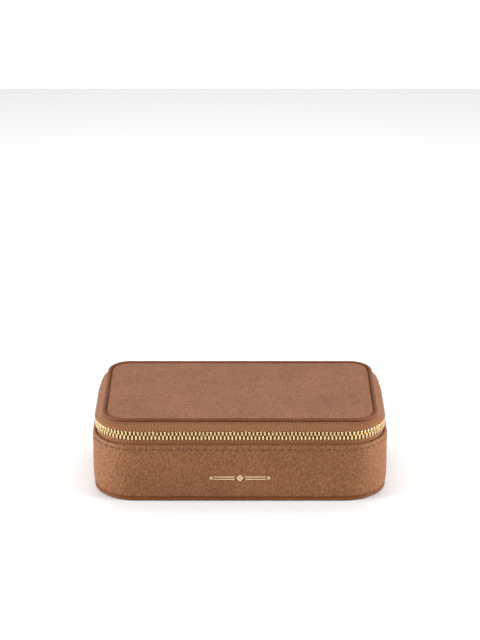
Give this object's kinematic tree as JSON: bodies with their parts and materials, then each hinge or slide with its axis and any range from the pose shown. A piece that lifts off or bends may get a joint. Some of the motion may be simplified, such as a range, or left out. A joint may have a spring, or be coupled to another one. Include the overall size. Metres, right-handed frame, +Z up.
{
  "type": "leather jewellery case",
  "caption": "Low rectangular leather case with rounded corners and a hinged lid, closed by a metal zip round the front and sides, with a divided suede tray and ring rolls inside.",
  "frame": {"origin": "middle of the underside, on the surface the case stands on", "axes": "+X along the length, to the right seen from the front; the front with the zip faces -Y and the hinge is at +Y; +Z up"},
  "size_m": [0.18, 0.102, 0.0524],
  "materials": {
    "leather": "pebbled, satin",
    "zip_tape": "herringbone weave, matt",
    "brass": "polished",
    "suede": "suede, matt",
    "padding": "foam, matt",
    "board": "matt",
    "mirror": "polished"
  },
  "bodies": {
    "base": {"base_panel": "leather", "base_board": "board", "base_piping": "leather", "wall_leather": "leather", "wall_board": "board", "tray_floor": "suede", "tray_wall": "suede", "divider_left": "suede", "divider_right": "suede", "divider_cross": "suede", "ring_bed": "suede", "ring_roll_1": "suede", "ring_roll_2": "suede", "ring_roll_3": "suede", "ring_roll_4": "suede", "ring_roll_5": "suede", "hinge_leaf_lower": "leather", "tape_lower": "zip_tape", "teeth_lower": "brass", "tape_back_left": "zip_tape", "tape_back_right": "zip_tape", "teeth_back_left": "brass", "teeth_back_right": "brass", "zip_bottom_stop": "brass", "zip_top_stops": "brass"},
    "lid": {"tape_upper": "zip_tape", "teeth_upper": "brass", "hinge_leaf_upper": "leather", "top_piping": "leather", "top_panel": "leather", "top_padding": "padding", "top_board": "board", "lid_lining": "suede", "lid_mirror": "mirror", "mirror_frame": "leather"},
    "slider": {"slider_outer_plate": "brass", "slider_inner_plate": "brass", "slider_bail": "brass"},
    "pull": {"zip_pull": "brass"}
  },
  "joints": [
    {"name": "lid_hinge", "type": "hinge", "parent": "base", "child": "lid", "pos_m": [0, 0.0489, 0.0431], "axis": [-1, 0, 0], "range_deg": [0, 110]},
    {"name": "slider_travel", "type": "hinge", "parent": "base", "child": "slider", "pos_m": [0.064, 0.025, 0.0431], "axis": [0, 0, 1], "range_deg": [-47, 0]},
    {"name": "pull_swing", "type": "hinge", "parent": "slider", "child": "pull", "pos_m": [0.07672, 0.04893, 0.0431], "axis": [0.8829, -0.4695, 0], "range_deg": [0, 100]}
  ]
}
